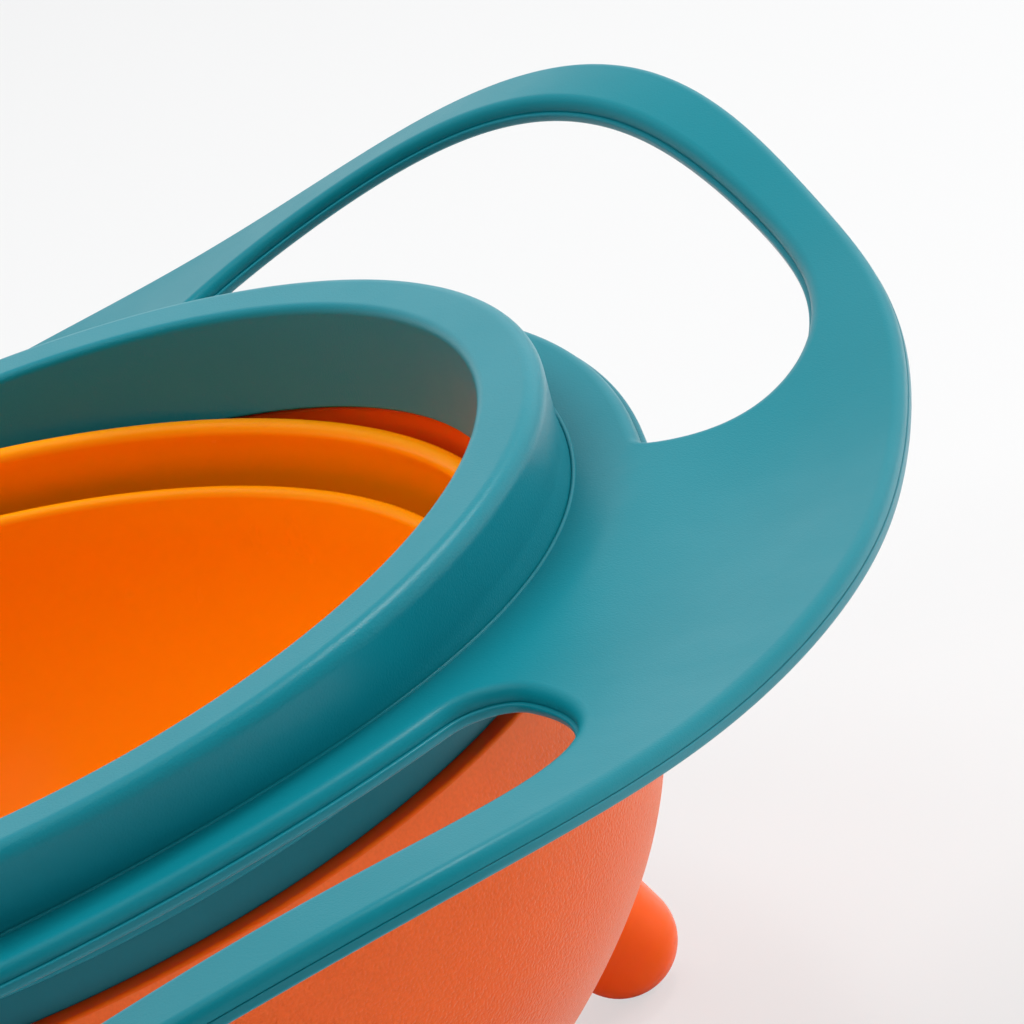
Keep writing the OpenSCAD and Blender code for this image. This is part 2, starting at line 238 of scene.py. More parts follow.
def plain_mesh(carrier, name):
    """The evaluated shape of an object as an object of its own, with clean outward faces."""
    graph = bpy.context.evaluated_depsgraph_get()
    mesh = bpy.data.meshes.new_from_object(carrier.evaluated_get(graph))
    bpy.data.objects.remove(carrier)
    mesh.name = name
    work = bmesh.new()
    work.from_mesh(mesh)
    bmesh.ops.remove_doubles(work, verts=work.verts, dist=WELD)
    bmesh.ops.dissolve_degenerate(work, edges=work.edges, dist=SLIVER)
    bmesh.ops.recalc_face_normals(work, faces=work.faces)
    work.to_mesh(mesh)
    work.free()
    mesh.polygons.foreach_set("use_smooth", [True] * len(mesh.polygons))
    mesh.set_sharp_from_angle(angle=CREASE)
    made = bpy.data.objects.new(name, mesh)
    bpy.context.scene.collection.objects.link(made)
    return made


def turned(name, section, plastic, columns=240, closed=True):
    """A piece turned round the frame's upright axis from a section in millimetres."""
    points = section + section[:1] if closed else section
    sketch = bpy.data.meshes.new(name + "_section")
    sketch.from_pydata([(r * MM, 0, z * MM) for r, z in points], [], [])
    section_object = bpy.data.objects.new(name + "_section", sketch)
    carrier = bpy.data.objects.new(name + "_carrier", bpy.data.meshes.new(name + "_carrier"))
    for o in (section_object, carrier):
        bpy.context.scene.collection.objects.link(o)
    modifier = carrier.modifiers.new("turn", "NODES")
    modifier.node_group = turn_a_section
    wanted = {"Section": section_object, "Points": len(points), "Columns": columns, "Plastic": plastic}
    for item in turn_a_section.interface.items_tree:
        if item.in_out == "INPUT":
            modifier[item.identifier] = wanted[item.name]
    piece = plain_mesh(carrier, name)
    bpy.data.objects.remove(section_object)
    return piece


def block(name, low, high, plastic):
    """A plain block between two corners in millimetres."""
    corners = [(x * MM, y * MM, z * MM) for z in (low[2], high[2])
               for y in (low[1], high[1]) for x in (low[0], high[0])]
    sides = [(0, 2, 3, 1), (4, 5, 7, 6), (0, 1, 5, 4), (2, 6, 7, 3), (0, 4, 6, 2), (1, 3, 7, 5)]
    mesh = bpy.data.meshes.new(name)
    mesh.from_pydata(corners, [], sides)
    mesh.materials.append(plastic)
    made = bpy.data.objects.new(name, mesh)
    bpy.context.scene.collection.objects.link(made)
    return made


def joined(piece, tool, how):
    """A piece after a Boolean step with a tool, which is used up."""
    step = piece.modifiers.new(how, "BOOLEAN")
    step.operation = how
    step.solver = "EXACT"
    step.object = tool
    name = piece.name
    piece.name = name + "_carrier"
    made = plain_mesh(piece, name)
    bpy.data.objects.remove(tool)
    return made


def settle(piece, body, node):
    """The piece stands for its CAD node, which is hidden, and moves with its body."""
    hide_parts(node)
    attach(piece, body)
    print(piece.name, "for", node, "on", body, "with", len(piece.data.polygons), "faces")


print("helpers ready, arcs in steps of", round(math.degrees(ARC_STEP)), "degrees")

# %% [markdown]
# ## The plastics
#
# Every piece is moulded plastic, but no two finishes are quite alike. The teal parts are satin with a fine
# spark-eroded grain. The outer bowl has a coarser leather grain. The food bowl, the ring and the feet are
# polished. A real moulding is never one flat colour: pigment drifts a little, gloss drifts with wear and
# the texture catches the light. Each finish gets these from noise on Object coordinates, at real sizes.
#
# A deep grain's shade is painted too. The same noise that lifts the surface darkens the pigment in its
# valleys, as painted shade, and lightens it on its peaks, as painted highlight, so the grain shows even where
# the light is soft. Thin bright walls let some light through, which the shader calls subsurface, and a faint
# sheen stands for the pale bloom on a frosted moulding.

# %% Helper for a moulded plastic
PIGMENT_MM = 18
GLOSS_MM = 9
# Grain heights between which the painted grain shade runs from darkened valleys to lightened peaks.
VALLEY, PEAK = 0.3, 0.7
GLOW_REACH = (1.0, 0.35, 0.1)
BLOOM_ROUGHNESS = 0.35
BLOOM_TINT = (1.0, 0.82, 0.74, 1)


def moulded(name, colour, deep, roughness, grain_mm, grain_depth_mm, gloss_drift, shine, glow=0.0,
            glow_mm=3.5, mask=None, bloom=0.0, painted_grain_shade=0.0):
    """A plastic with drifting pigment, drifting gloss and a fine moulded grain."""
    plastic = bpy.data.materials.new(name)
    plastic.use_nodes = True
    nodes, links = plastic.node_tree.nodes, plastic.node_tree.links
    shader = nodes["Principled BSDF"]
    place = nodes.new("ShaderNodeTexCoord")

    def noise(size_mm, detail):
        made = nodes.new("ShaderNodeTexNoise")
        made.inputs["Scale"].default_value = 1 / (size_mm * MM)
        made.inputs["Detail"].default_value = detail
        links.new(place.outputs["Object"], made.inputs["Vector"])
        return made.outputs["Fac"]

    pigment = nodes.new("ShaderNodeMix")
    pigment.data_type = "RGBA"
    pigment.inputs["A"].default_value = (*colour, 1)
    pigment.inputs["B"].default_value = (*deep, 1)
    links.new(noise(PIGMENT_MM, 4), pigment.inputs["Factor"])
    links.new(pigment.outputs["Result"], shader.inputs["Base Color"])

    gloss = nodes.new("ShaderNodeMapRange")
    gloss.inputs["To Min"].default_value = roughness - gloss_drift
    gloss.inputs["To Max"].default_value = roughness + gloss_drift
    links.new(noise(GLOSS_MM, 3), gloss.inputs["Value"])
    links.new(gloss.outputs["Result"], shader.inputs["Roughness"])

    grain = nodes.new("ShaderNodeBump")
    grain.inputs["Distance"].default_value = grain_depth_mm * MM
    height = noise(grain_mm, 2)
    # Painted shade and painted highlight: the pigment is darkened in the grain's valleys and lightened on its
    # peaks.
    if painted_grain_shade:
        valley = nodes.new("ShaderNodeMapRange")
        valley.inputs["From Min"].default_value = VALLEY
        valley.inputs["From Max"].default_value = PEAK
        valley.inputs["To Min"].default_value = 1 - painted_grain_shade
        valley.inputs["To Max"].default_value = 1 + painted_grain_shade
        links.new(height, valley.inputs["Value"])
        shaded = nodes.new("ShaderNodeVectorMath")
        shaded.operation = "SCALE"
        links.new(pigment.outputs["Result"], shaded.inputs[0])
        links.new(valley.outputs["Result"], shaded.inputs["Scale"])
        links.new(shaded.outputs["Vector"], shader.inputs["Base Color"])
    if mask:
        cover = nodes.new("ShaderNodeAttribute")
        cover.attribute_name = mask
        masked = nodes.new("ShaderNodeMath")
        masked.operation = "MULTIPLY"
        links.new(height, masked.inputs[0])
        links.new(cover.outputs["Fac"], masked.inputs[1])
        height = masked.outputs["Value"]
    links.new(height, grain.inputs["Height"])
    links.new(grain.outputs["Normal"], shader.inputs["Normal"])
    shader.inputs["Specular IOR Level"].default_value = shine
    if glow:
        shader.inputs["Subsurface Weight"].default_value = glow
        shader.inputs["Subsurface Radius"].default_value = GLOW_REACH
        shader.inputs["Subsurface Scale"].default_value = glow_mm * MM
    if bloom:
        shader.inputs["Sheen Weight"].default_value = bloom
        shader.inputs["Sheen Roughness"].default_value = BLOOM_ROUGHNESS
        shader.inputs["Sheen Tint"].default_value = BLOOM_TINT
    print("plastic", name, "grain", grain_mm, "mm")
    return plastic


# %% [markdown]
# The two colours of a plastic are the pale and the deep end of its pigment, in linear red, green and blue.
# The teal pieces come from different moulds, so their finishes differ a little. The outer bowl has two: one
# for its grained outside and one for its smooth inside.

# %% Make the plastics
teal_satin = moulded("teal_satin", (0.002, 0.205, 0.258), (0.001, 0.188, 0.236), roughness=0.36,
                     grain_mm=0.24, grain_depth_mm=0.040, gloss_drift=0.05, shine=0.34)
teal_matt = moulded("teal_matt", (0.002, 0.194, 0.243), (0.001, 0.176, 0.220), roughness=0.38,
                    grain_mm=0.24, grain_depth_mm=0.025, gloss_drift=0.05, shine=0.24)
teal_lower = moulded("teal_lower", (0.002, 0.180, 0.228), (0.001, 0.164, 0.208), roughness=0.36,
                     grain_mm=0.24, grain_depth_mm=0.025, gloss_drift=0.05, shine=0.4)
# The coral's grain carries painted shade in its valleys and painted highlight on its peaks.
coral_grain = moulded("coral_grain", (0.92, 0.135, 0.018), (0.87, 0.116, 0.013), roughness=0.50,
                      grain_mm=0.40, grain_depth_mm=0.220, gloss_drift=0.05, shine=0.25,
                      glow=0.25, glow_mm=6.0, mask="grain", bloom=0.45, painted_grain_shade=0.045)
coral_smooth = moulded("coral_smooth", (0.93, 0.105, 0.005), (0.89, 0.092, 0.004), roughness=0.40,
                       grain_mm=0.6, grain_depth_mm=0.003, gloss_drift=0.04, shine=0.10,
                       glow=0.7, glow_mm=6.0)
orange_polished = moulded("orange_polished", (0.98, 0.320, 0.001), (0.96, 0.295, 0.001), roughness=0.26,
                          grain_mm=0.6, grain_depth_mm=0.002, gloss_drift=0.04, shine=0.18, glow=0.15)
foot_polished = moulded("foot_polished", (0.95, 0.125, 0.003), (0.91, 0.108, 0.002), roughness=0.24,
                        grain_mm=0.6, grain_depth_mm=0.002, gloss_drift=0.04, shine=0.22, glow=0.25)
pin_natural = moulded("pin_natural", (0.72, 0.70, 0.62), (0.66, 0.64, 0.57), roughness=0.38,
                      grain_mm=0.3, grain_depth_mm=0.004, gloss_drift=0.05, shine=0.4)

# %% [markdown]
# ## The collar
#
# The collar is the teal ring round the mouth. Its lip is flat on top with a rounded shoulder. Below the lip
# the outer wall draws in, so the collar drops into the plate from above. Its throat narrows downwards to
# guide spilled drops back in, and it is hollow underneath, where the skirt ring plugs in. A turned section
# gives all of it. Two small tongues, joined on by Boolean steps, hold the ring's pins down.

# %% Make the collar
MOUTH_R = 65.1
THROAT_R = 62.96
THROAT_RISE = 6.2
LIP_DEPTH = 5.0
THROAT_WALL = 2.1
COLLAR_WALL = 1.8
COLLAR_FOOT = 72.6
LIP_ROUND = 1.2
LIP_LEDGE = 1.5
FLARE_Z = 80.0
FLARE_ROUND = 6.0
SHOULDER_ROUND = 2.0
HOLLOW_ROUND = 0.6
EDGE_ROUND = 0.35
TONGUE_HALF = 1.95
TONGUE_NEAR = 63.7
TONGUE_FAR = 66.4
TONGUE_CLEAR = 2.1
TONGUE_ROOT = 0.5

throat_z = pivot_z + THROAT_RISE
collar_section = rounded([
    (MOUTH_R, crown_z, LIP_ROUND), (lip_r, crown_z, SHOULDER_ROUND),
    (collar_r, FLARE_Z, FLARE_ROUND), (collar_r, COLLAR_FOOT, EDGE_ROUND),
    (collar_r - COLLAR_WALL, COLLAR_FOOT, EDGE_ROUND),
    (collar_r - COLLAR_WALL, crown_z - LIP_DEPTH, HOLLOW_ROUND),
    (MOUTH_R + LIP_LEDGE, crown_z - LIP_DEPTH, HOLLOW_ROUND),
    (THROAT_R + THROAT_WALL, throat_z, EDGE_ROUND), (THROAT_R, throat_z, EDGE_ROUND)])
collar = turned("collar_moulding", collar_section, teal_satin, columns=288)
for near, far in ((TONGUE_NEAR, TONGUE_FAR), (-TONGUE_FAR, -TONGUE_NEAR)):
    low = (-TONGUE_HALF, near, pivot_z + TONGUE_CLEAR)
    high = (TONGUE_HALF, far, throat_z + TONGUE_ROOT)
    collar = joined(collar, block("tongue", low, high, teal_satin), "UNION")
settle(collar, "frame", "rim_collar")

# %% [markdown]
# ## The skirt ring
#
# A plain band closes the gap between the plate and the outer bowl. Only its lowest few millimetres show,
# in the shade of the plate. They widen a little downwards, which lets them catch some light from above.

# %% Make the skirt ring
SKIRT_WALL = 3.15
SKIRT_FLARE = 0.8
SKIRT_ROUND = 4.0

skirt_section = rounded([
    (skirt_r - SKIRT_WALL, skirt_low.z, EDGE_ROUND), (skirt_r + SKIRT_FLARE, skirt_low.z, EDGE_ROUND),
    (skirt_r, COLLAR_FOOT, SKIRT_ROUND), (skirt_r, skirt_high.z, EDGE_ROUND),
    (skirt_r - SKIRT_WALL, skirt_high.z, EDGE_ROUND)])
skirt = turned("skirt_moulding", skirt_section, teal_lower, columns=240)
settle(skirt, "frame", "skirt_ring")

# %% [markdown]
# ## The outer bowl
#
# The bowl has an upright wall under its rim, then a side arc and a flatter base arc, each tangent to the
# next. Its outside has a leather grain, but the ledge at the rim is smooth. A number stored on the mesh,
# called grain, tells the plastic where the texture is, and the faces inside get the smooth finish.
#
# A spigot stands on the rim and plugs into the skirt ring. Two saddles are cut into it for the ring's pins:
# each is a slot from above that ends in a half round.

# %% Make the outer bowl
STRAIGHT = 8.0
SHELL_WALL = 2.4
BLEND = 40.0
SPIGOT_IN_R = 63.6
SPIGOT_R = 66.55
SHELF = 4.0
SHELF_RAMP = 3
SHELF_ROUND = 1.5
SPIGOT_ROUND = 0.4
LEDGE_ROUND = 0.3
RIM_ROUND = 0.35
SADDLE_R = 2.05
SADDLE_NEAR = 62.6
SADDLE_FAR = 67.0
QUARTER = math.pi / 2

arc_z = rim_z - STRAIGHT
blend_share = (1 - math.sin(math.radians(BLEND))) / math.cos(math.radians(BLEND))
side_r = (arc_z - base_z - blend_share * rim_r) / (1 - blend_share)
side_off = rim_r - side_r
base_r = side_r + side_off / math.cos(math.radians(BLEND))
base_centre = (0.0, base_z + base_r)


def bowl_wall(inset, steps):
    """Points of the bowl's wall from the upright part down to the axis, set in from the outside."""
    side = arc((side_off, arc_z), side_r - inset, 0, -BLEND, steps)
    base = arc(base_centre, base_r - inset, -BLEND, -90, steps)
    return side + base[1:-1] + [(0.0, base_z + inset)]


upper_part = rounded([
    (rim_r - SHELL_WALL, arc_z, 0), (rim_r - SHELL_WALL, rim_z - SHELF - SHELF_RAMP, SHELF_ROUND),
    (SPIGOT_IN_R, rim_z - SHELF, SPIGOT_ROUND), (SPIGOT_IN_R, spigot_z, EDGE_ROUND),
    (SPIGOT_R, spigot_z, EDGE_ROUND), (SPIGOT_R, rim_z, LEDGE_ROUND),
    (rim_r, rim_z, RIM_ROUND), (rim_r, arc_z, 0)], closed=False)
bowl_section = bowl_wall(SHELL_WALL, 26)[::-1] + upper_part[1:-1] + bowl_wall(0, 34)
outer = turned("outer_bowl_moulding", bowl_section, coral_grain, columns=288, closed=False)
groove_section = [(0.0, SADDLE_NEAR), (SADDLE_R, SADDLE_NEAR), (SADDLE_R, SADDLE_FAR), (0.0, SADDLE_FAR)]
for near, far in ((SADDLE_NEAR, SADDLE_FAR), (-SADDLE_FAR, -SADDLE_NEAR)):
    saddle = block("saddle", (-SADDLE_R, near, pivot_z), (SADDLE_R, far, spigot_z + 1), coral_grain)
    outer = joined(outer, saddle, "DIFFERENCE")
    groove = turned("groove", groove_section, coral_grain, columns=48, closed=False)
    laid = Matrix.Rotation(math.copysign(QUARTER, -near), 4, "X")
    groove.data.transform(Matrix.Translation(pivot) @ laid)
    outer = joined(outer, groove, "DIFFERENCE")
print("outer bowl turned and cut,", len(outer.data.polygons), "faces")

# %% [markdown]
# The grain covers what faces outwards and lies below the rim's edge, and fades in over a short way. Faces
# with none of it get the second plastic.

# %% Mark the grained outside
EDGE_SKIP = 0.1
GRAIN_FADE = 0.3

spots = np.array([v.co for v in outer.data.vertices]) / MM
facing = np.array([v.normal for v in outer.data.vertices])
faces_out = (facing * (spots - (0, 0, arc_z))).sum(1) > 0
below_edge = np.clip((rim_z - RIM_ROUND - EDGE_SKIP - spots[:, 2]) / GRAIN_FADE, 0, 1)
grain = outer.data.attributes.new("grain", "FLOAT", "POINT")
grained = faces_out * below_edge
grain.data.foreach_set("value", grained.astype(np.float32))
outer.data.materials.append(coral_smooth)
smooth_side = len(outer.data.materials) - 1
for face in outer.data.polygons:
    if grained[list(face.vertices)].max() < 0.5:
        face.material_index = smooth_side
settle(outer, "frame", "outer_bowl")

# %% [markdown]
# ## The feet
#
# Three round-ended pegs lean outwards under the bowl. Each is a turned peg whose ball end is pressed flat
# where it stands. Its top is cut with the bowl's own form, a little inside the skin, so no gap shows at the
# seat. One place is worked out, and the others follow by thirds of a turn.

# %% Make the feet
FOOT_R = 7.1
FOOT_CIRCLE_R = 56.5
FOOT_SPLAY = 20.0
FOOT_TURN = 17.0
FOOT_LENGTH = 22.0
FOOT_SEAT = 0.75
FOOT_FLAT_R = 1.9
BALL_FROM = -84
THIRD = 120

foot_ball_z = math.sqrt(FOOT_R ** 2 - FOOT_FLAT_R ** 2)
foot_section = ([(0.0, -FOOT_R)] + arc((0, 0), FOOT_R, BALL_FROM, 0, 18)
                + [(FOOT_R, FOOT_LENGTH), (0.0, FOOT_LENGTH)])
form_section = [(0.0, arc_z)] + bowl_wall(FOOT_SEAT, 34)
for third, node in enumerate(("foot_right", "foot_back", "foot_front")):
    foot = turned(node + "_peg", foot_section, foot_polished, columns=96, closed=False)
    lean = Matrix.Rotation(math.radians(-FOOT_SPLAY), 4, "Y")
    stand = Matrix.Translation(Vector((FOOT_CIRCLE_R, 0, foot_ball_z)) * MM)
    place = Matrix.Rotation(math.radians(FOOT_TURN + THIRD * third), 4, "Z")
    foot.data.transform(place @ stand @ lean)
    for v in foot.data.vertices:
        v.co.z = max(v.co.z, 0.0)
    bowl_form = turned("bowl_form", form_section, foot_polished, columns=144, closed=False)
    foot = joined(foot, bowl_form, "DIFFERENCE")
    settle(foot, "frame", node)

# %% [markdown]
# ## The wavy plate
#
# The plate with the three loops follows a rule. Its outline, its height and its slots are short sums of
# cosines that repeat every third of a turn, so the loops rise and the lands between them dip. A grid in
# polar form would pinch at the slots' ends. Instead the edges are walked as closed lines, each edge gets
# its own rounded strip of faces, and the field between the strips is filled by Delaunay triangles.

# %% The plate's rule
FLANGE_R = 79.25
FLANGE_Z = 78.2
FLANGE_WAVE = 1.56
LOOP_TURN = 41.4
SLOT_SHIFT = -12.0
SLOT_HALF = 39.6
SLOT_POWER = 5.6
TIP_R = 80.1
END_SHARE = 0.9926
END_ROUND = 4.0
OUTLINE = (116.4, 8.2, 1.8, 0.8)
LIFT = (0.5, 7.1, 1.65, 0.6)
BAR = (8.5, 0.0, 1.6)


def thirds(terms, t):
    """A sum of cosines that repeats every third of a turn; t in degrees from a loop's highest point."""
    return sum(a * np.cos(np.radians(3 * k * t)) for k, a in enumerate(terms))


def bar_inside(t):
    """Radius of a grip bar's inner edge."""
    return thirds(OUTLINE, t) - thirds(BAR, t)


def plate_z(x, y):
    """Height of the plate's top face."""
    r = np.hypot(x, y)
    t = np.degrees(np.arctan2(y, x)) - LOOP_TURN
    ramp = np.sin(np.pi / 2 * np.clip((r - FLANGE_R) / (bar_inside(t) - FLANGE_R), 0, 1))
    return FLANGE_Z + (1 - ramp) * FLANGE_WAVE * np.cos(np.radians(3 * t)) + ramp * thirds(LIFT, t)


def polar(r, t):
    """Plan points at a radius and an angle from a loop's highest point."""
    a = np.radians(t + LOOP_TURN)
    return np.stack([r * np.cos(a), r * np.sin(a)], 1)


def even(loop, step):
    """A closed line walked at an even step."""
    ring = np.vstack([loop, loop[:1]])
    along = np.r_[0, np.cumsum(np.linalg.norm(np.diff(ring, axis=0), axis=1))]
    count = round(along[-1] / step)
    at = np.arange(count) * along[-1] / count
    return np.stack([np.interp(at, along, ring[:, k]) for k in (0, 1)], 1)


def smoothed(loop, reach_mm, step):
    """The same closed line with corners rounded over a short reach."""
    size = max(1, round(reach_mm / step))
    weights = np.hanning(2 * size + 3)[1:-1]
    weights /= weights.sum()
    return sum(w * np.roll(loop, k - size, axis=0) for k, w in enumerate(weights))


print("outline from", round(thirds(OUTLINE, 60.0), 1), "to", round(thirds(OUTLINE, 0.0), 1), "mm")

# %% [markdown]
# The outline and the bore are walked once round. A slot is walked along its near edge and back along its
# far edge, with points drawn together at its ends, where it curves most. One end is fuller than the other.

# %% Walk the plate's edges
STEP = 0.7
BORE_TUCK = 0.1
SLOT_SMOOTH = 1.4

outline_t = np.arange(0, 360, 0.25)
bore_t = np.arange(0, 360, 0.5)
outline_line = even(polar(thirds(OUTLINE, outline_t), outline_t), STEP)
bore_line = even(polar(np.full(len(bore_t), collar_r - BORE_TUCK), bore_t), STEP)[::-1]
w = np.sin(np.linspace(-np.pi / 2, np.pi / 2, 600))
slot_t = SLOT_SHIFT + SLOT_HALF * w
slot_end = np.sqrt(np.clip(1 - np.abs(np.where(w > 0, w * END_SHARE, w)) ** SLOT_POWER, 0, 1))
slot_far = TIP_R + (bar_inside(slot_t) - TIP_R) * slot_end
slot_near = TIP_R - (TIP_R - FLANGE_R) * slot_end
full_end = 1 - np.sqrt(1 - np.clip(1 - (1 - w) * SLOT_HALF / END_ROUND, 0, 1) ** 2)
slot_near += (slot_far[-1] - slot_near) * full_end
slot_lines = []
for loop in range(3):
    near_edge = polar(slot_near, slot_t + THIRD * loop)
    far_edge = polar(slot_far, slot_t + THIRD * loop)
    around = even(np.vstack([near_edge, far_edge[-2:0:-1]]), STEP)
    slot_lines.append(smoothed(around, SLOT_SMOOTH, STEP))
print("edges walked:", len(outline_line), len(bore_line), [len(s) for s in slot_lines])

# %% [markdown]
# A shell is closed by a strip of faces along every edge, and by two fields of triangles, on top and below.
# The triangles come from an even grid of points that keeps clear of the edges.

# %% Helpers for a shell of the plate
LEVEL_RISE = 1e-12
TOUCH_MM = 1e-6
EDGE_CLEAR = 0.6


def into_material(line):
    """Unit directions square to a closed line, to its left."""
    ahead = np.roll(line, -1, axis=0) - np.roll(line, 1, axis=0)
    ahead /= np.linalg.norm(ahead, axis=1)[:, None]
    return np.stack([-ahead[:, 1], ahead[:, 0]], 1)


def inside(points, line):
    """Which points lie inside a closed line."""
    x, y = points[:, :1], points[:, 1:]
    a, b = line, np.roll(line, -1, axis=0)
    crosses = (a[:, 1] > y) != (b[:, 1] > y)
    rise = np.where(b[:, 1] == a[:, 1], LEVEL_RISE, b[:, 1] - a[:, 1])
    at = a[:, 0] + (y - a[:, 1]) / rise * (b[:, 0] - a[:, 0])
    return (crosses & (x < at)).sum(1) % 2 == 1


def clear_of(points, line, gap):
    """Which points keep a gap from the points of a closed line."""
    keep = np.ones(len(points), bool)
    for part in np.array_split(np.arange(len(points)), max(1, len(points) // 500)):
        away = np.linalg.norm(points[part][:, None] - line[None, ::2], axis=2)
        keep[part] = away.min(1) > gap
    return keep


def field_triangles(lines, spacing):
    """Points and triangles that fill the field between an outer line and the lines of its holes."""
    outer_line, holes = lines[0], lines[1:]
    low, high = outer_line.min(0), outer_line.max(0)
    rows = np.arange(low[1], high[1], spacing * math.sqrt(3) / 2)
    grid = np.array([(x + spacing / 2 * (k % 2), y) for k, y in enumerate(rows)
                     for x in np.arange(low[0], high[0], spacing)])
    gap = spacing * EDGE_CLEAR
    keep = inside(grid, outer_line) & clear_of(grid, outer_line, gap)
    for hole in holes:
        keep &= ~inside(grid, hole) & clear_of(grid, hole, gap)
    points = np.vstack([*lines, grid[keep]])
    edges, first = [], 0
    for line in lines:
        edges += [(first + k, first + (k + 1) % len(line)) for k in range(len(line))]
        first += len(line)
    found = delaunay_2d_cdt([Vector(p) for p in points], edges, [], 0, TOUCH_MM)
    triangles = np.array(found[2])
    middle = points[triangles].mean(1)
    good = inside(middle, outer_line)
    for hole in holes:
        good &= ~inside(middle, hole)
    return points, triangles[good]


def plate_shell(name, outline_edge, bore_edge, slot_edge, plastic, spacing=1.9):
    """A closed shell: a strip of faces along every edge, and a field of triangles on top and below."""
    lines = [outline_line, bore_line, *slot_lines]
    sections = [outline_edge, bore_edge] + [slot_edge] * len(slot_lines)
    vertices, faces, inner = [], [], []
    for line, section in zip(lines, sections):
        side = into_material(line)
        start = sum(len(v) for v in vertices)
        for inset, depth in section:
            at = line + side * inset
            vertices.append(np.column_stack([at, plate_z(at[:, 0], at[:, 1]) - depth]))
        count = len(line)
        for row in range(len(section) - 1):
            for k in range(count):
                a, b = start + row * count + k, start + row * count + (k + 1) % count
                faces.append((a, a + count, b + count, b))
        inner.append((line + side * section[0][0], start, start + (len(section) - 1) * count))
    points, triangles = field_triangles([line for line, _, _ in inner], spacing)
    edge_points = sum(len(line) for line, _, _ in inner)
    extra = points[edge_points:]
    for face, depth in enumerate((outline_edge[0][1], outline_edge[-1][1])):
        numbers = np.concatenate([np.arange(len(line)) + starts[face] for line, *starts in inner])
        start = sum(len(v) for v in vertices)
        vertices.append(np.column_stack([extra, plate_z(extra[:, 0], extra[:, 1]) - depth]))
        numbers = np.concatenate([numbers, np.arange(len(extra)) + start])
        faces += [tuple(int(numbers[i]) for i in (tri if face == 0 else tri[::-1])) for tri in triangles]
    mesh = bpy.data.meshes.new(name)
    mesh.from_pydata([tuple(v) for v in np.vstack(vertices) * MM], [], faces)
    mesh.materials.append(plastic)
    carrier = bpy.data.objects.new(name + "_carrier", mesh)
    bpy.context.scene.collection.objects.link(carrier)
    return plain_mesh(carrier, name)


def round_over(radius, depth=0.0, proud=0.0, steps=7):
    """Insets and depths of a rounded top edge, from the top face to the side."""
    turns = [math.pi / 2 * k / steps for k in range(steps + 1)]
    return [(radius * (1 - math.sin(a)) - proud, depth + radius * (1 - math.cos(a))) for a in turns]


print("edge strips of", len(outline_line) + len(bore_line) + sum(map(len, slot_lines)), "points a row")

# %% [markdown]
# Each edge has a small section of its own: how far in from the edge, and how far below the top face. The
# upper shell is well rounded on top and drawn in at its foot, which leaves the dark groove along the
# parting line. The lower shell stands a little proud, most along the slots, so its top edge catches a line
# of light. A fine bead closes the joint between the plate and the collar.

# %% Make the two shells
UPPER_T = 1.8
LOWER_T = 1.2
SEAT = 0.02
OUTLINE_ROUND = 1.4
SLOT_ROUND = 1.5
GROOVE = 0.07
OUTLINE_PROUD = 0.1
SLOT_PROUD = 0.6
EDGE_STRIP = 1.6
BORE_INSET = 0.1
BEAD_HALF = 0.25
BEAD_EDGE = 0.7
OUTLINE_LOWER_ROUND = 0.15
SLOT_LOWER_ROUND = 0.3
BOTTOM_ROUND = 0.5

upper_end = [(0, UPPER_T - GROOVE), (GROOVE, UPPER_T), (EDGE_STRIP, UPPER_T)]
upper_outline = [(EDGE_STRIP, 0)] + round_over(OUTLINE_ROUND) + upper_end
upper_slot = [(EDGE_STRIP, 0)] + round_over(SLOT_ROUND) + [(0, UPPER_T), (EDGE_STRIP, UPPER_T)]
bead_turns = np.linspace(0, math.pi, 9)
bead = [(BORE_INSET + BEAD_HALF * (1 + math.cos(a)), -BEAD_HALF * math.sin(a)) for a in bead_turns]
upper_bore = [(EDGE_STRIP, 0), (BEAD_EDGE, 0)] + bead + [(BORE_INSET, UPPER_T), (EDGE_STRIP, UPPER_T)]
upper_shell = plate_shell("upper_shell_moulding", upper_outline, upper_bore, upper_slot, teal_matt)
settle(upper_shell, "frame", "upper_handle_shell")
lower_top = UPPER_T + SEAT
lower_end = lower_top + LOWER_T


def lower_edge(proud, top_round, bottom_round):
    """The lower shell's edge, standing proud of the upper one, rounded above and below."""
    top = round_over(top_round, lower_top, proud, 4)
    bottom = [(i, lower_end - d) for i, d in round_over(bottom_round, 0.0, proud, 5)]
    return [(EDGE_STRIP, lower_top)] + top + bottom[::-1] + [(EDGE_STRIP, lower_end)]


lower_outline = lower_edge(OUTLINE_PROUD, OUTLINE_LOWER_ROUND, BOTTOM_ROUND)
lower_slot = lower_edge(SLOT_PROUD, SLOT_LOWER_ROUND, BOTTOM_ROUND)
lower_bore = [(EDGE_STRIP, lower_top), (BORE_INSET, lower_top),
              (BORE_INSET, lower_end), (EDGE_STRIP, lower_end)]
lower_shell = plate_shell("lower_shell_moulding", lower_outline, lower_bore, lower_slot, teal_lower)
settle(lower_shell, "frame", "lower_handle_shell")

# %% [markdown]
# ## The gimbal ring
#
# The ring is a band of a sphere with bead-rounded edges, so it can turn all the way round inside the
# collar. It hangs on two pins along Y, and two bores square to them carry the food bowl's pins. The band is
# turned upright, then swung to the angle that the frame gives; bosses and bores are Boolean steps.

# %% Helpers for swung pieces and bores
upright = Matrix.Translation(pivot)
swung = upright @ Matrix.Rotation(swing, 4, "Y")
PINS_Y = {"back": upright @ Matrix.Rotation(-QUARTER, 4, "X"),
          "front": upright @ Matrix.Rotation(QUARTER, 4, "X")}
PINS_X = {"right": swung @ Matrix.Rotation(QUARTER, 4, "Y"),
          "left": swung @ Matrix.Rotation(-QUARTER, 4, "Y")}


